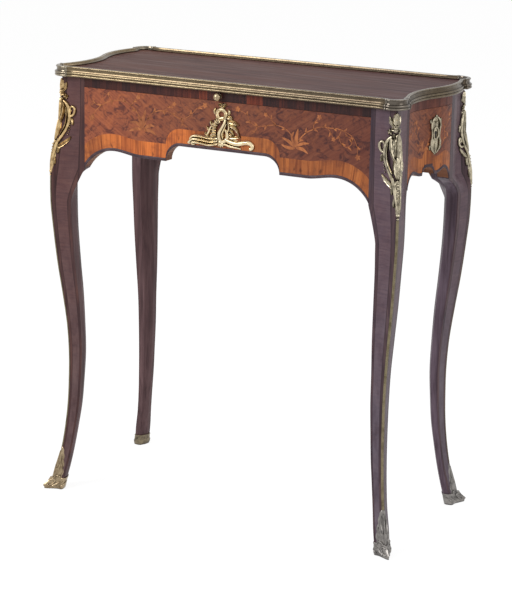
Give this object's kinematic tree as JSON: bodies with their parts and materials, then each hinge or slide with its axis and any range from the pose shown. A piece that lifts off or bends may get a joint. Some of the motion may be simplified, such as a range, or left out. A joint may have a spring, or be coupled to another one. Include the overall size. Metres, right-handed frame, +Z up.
{
  "type": "occasional table",
  "caption": "Serpentine occasional table on cabriole legs, with a writing slide in front, an end drawer with a lock, gilt corner mounts and a brass rim round the top",
  "frame": {"origin": "on the floor under the middle of the table", "axes": "+Z up; the front with the writing slide faces -Y; the drawer opens towards +X"},
  "size_m": [0.6528, 0.3168, 0.73],
  "materials": {
    "carcase_wood": "planed oak under veneer",
    "top_veneer": "french polished quarter veneer",
    "rim_brass": "aged burnished brass",
    "leg_wood": "french polished dark veneer",
    "fillet_brass": "drawn brass, aged",
    "gilt_mount": "chased and gilt, dark in the hollows",
    "marquetry": "french polished veneer with floral inlay",
    "banding": "french polished crossbanding",
    "edge_bead": "french polished dark moulding",
    "inner_wood": "planed oak, unpolished",
    "screw_steel": "darkened steel",
    "pin_brass": "drawn brass pin",
    "slide_wood": "french polished",
    "leather": "tooled writing leather",
    "lock_brass": "rolled brass",
    "bolt_steel": "filed steel"
  },
  "bodies": {
    "table": {"top_board": "carcase_wood", "top_veneer": "top_veneer", "rim_front": "rim_brass", "rim_back": "rim_brass", "rim_left": "rim_brass", "rim_right": "rim_brass", "rim_ears": "rim_brass", "rim_clasps": "rim_brass", "leg_front_left": "leg_wood", "leg_front_right": "leg_wood", "leg_back_left": "leg_wood", "leg_back_right": "leg_wood", "leg_fillets": "fillet_brass", "corner_mount_front_left": "gilt_mount", "corner_mount_front_right": "gilt_mount", "corner_mount_back_left": "gilt_mount", "corner_mount_back_right": "gilt_mount", "sabot_front_left": "gilt_mount", "sabot_front_right": "gilt_mount", "sabot_back_left": "gilt_mount", "sabot_back_right": "gilt_mount", "front_apron": "carcase_wood", "front_marquetry": "marquetry", "front_banding": "banding", "front_edge_bead": "edge_bead", "back_apron": "carcase_wood", "back_marquetry": "marquetry", "back_banding": "banding", "back_edge_bead": "edge_bead", "left_apron": "carcase_wood", "left_marquetry": "marquetry", "left_banding": "banding", "left_edge_bead": "edge_bead", "right_top_rail": "carcase_wood", "dust_panel": "inner_wood", "slide_stops": "inner_wood", "drawer_guides": "inner_wood", "drawer_runners": "inner_wood", "drawer_bearer": "inner_wood", "drawer_stop": "inner_wood", "glue_blocks": "inner_wood", "top_screws": "screw_steel", "front_mount": "gilt_mount", "mount_pins": "pin_brass"},
    "slide": {"slide_board": "slide_wood", "slide_front": "slide_wood", "slide_leather": "leather", "slide_knob": "gilt_mount"},
    "drawer": {"drawer_front": "carcase_wood", "drawer_marquetry": "marquetry", "drawer_banding": "banding", "drawer_edge_bead": "edge_bead", "drawer_sides": "inner_wood", "drawer_back": "inner_wood", "drawer_bottom": "inner_wood", "escutcheon": "gilt_mount", "drawer_pins": "pin_brass", "lock_case": "lock_brass"},
    "bolt": {"lock_bolt": "bolt_steel"}
  },
  "joints": [
    {"name": "writing_slide", "type": "slide", "parent": "table", "child": "slide", "axis": [0, -1, 0], "range_m": [0, 0.17]},
    {"name": "drawer_slide", "type": "slide", "parent": "table", "child": "drawer", "axis": [1, 0, 0], "range_m": [0, 0.235]},
    {"name": "bolt_slide", "type": "slide", "parent": "drawer", "child": "bolt", "axis": [0, 0, 1], "range_m": [0, 0.006]}
  ]
}
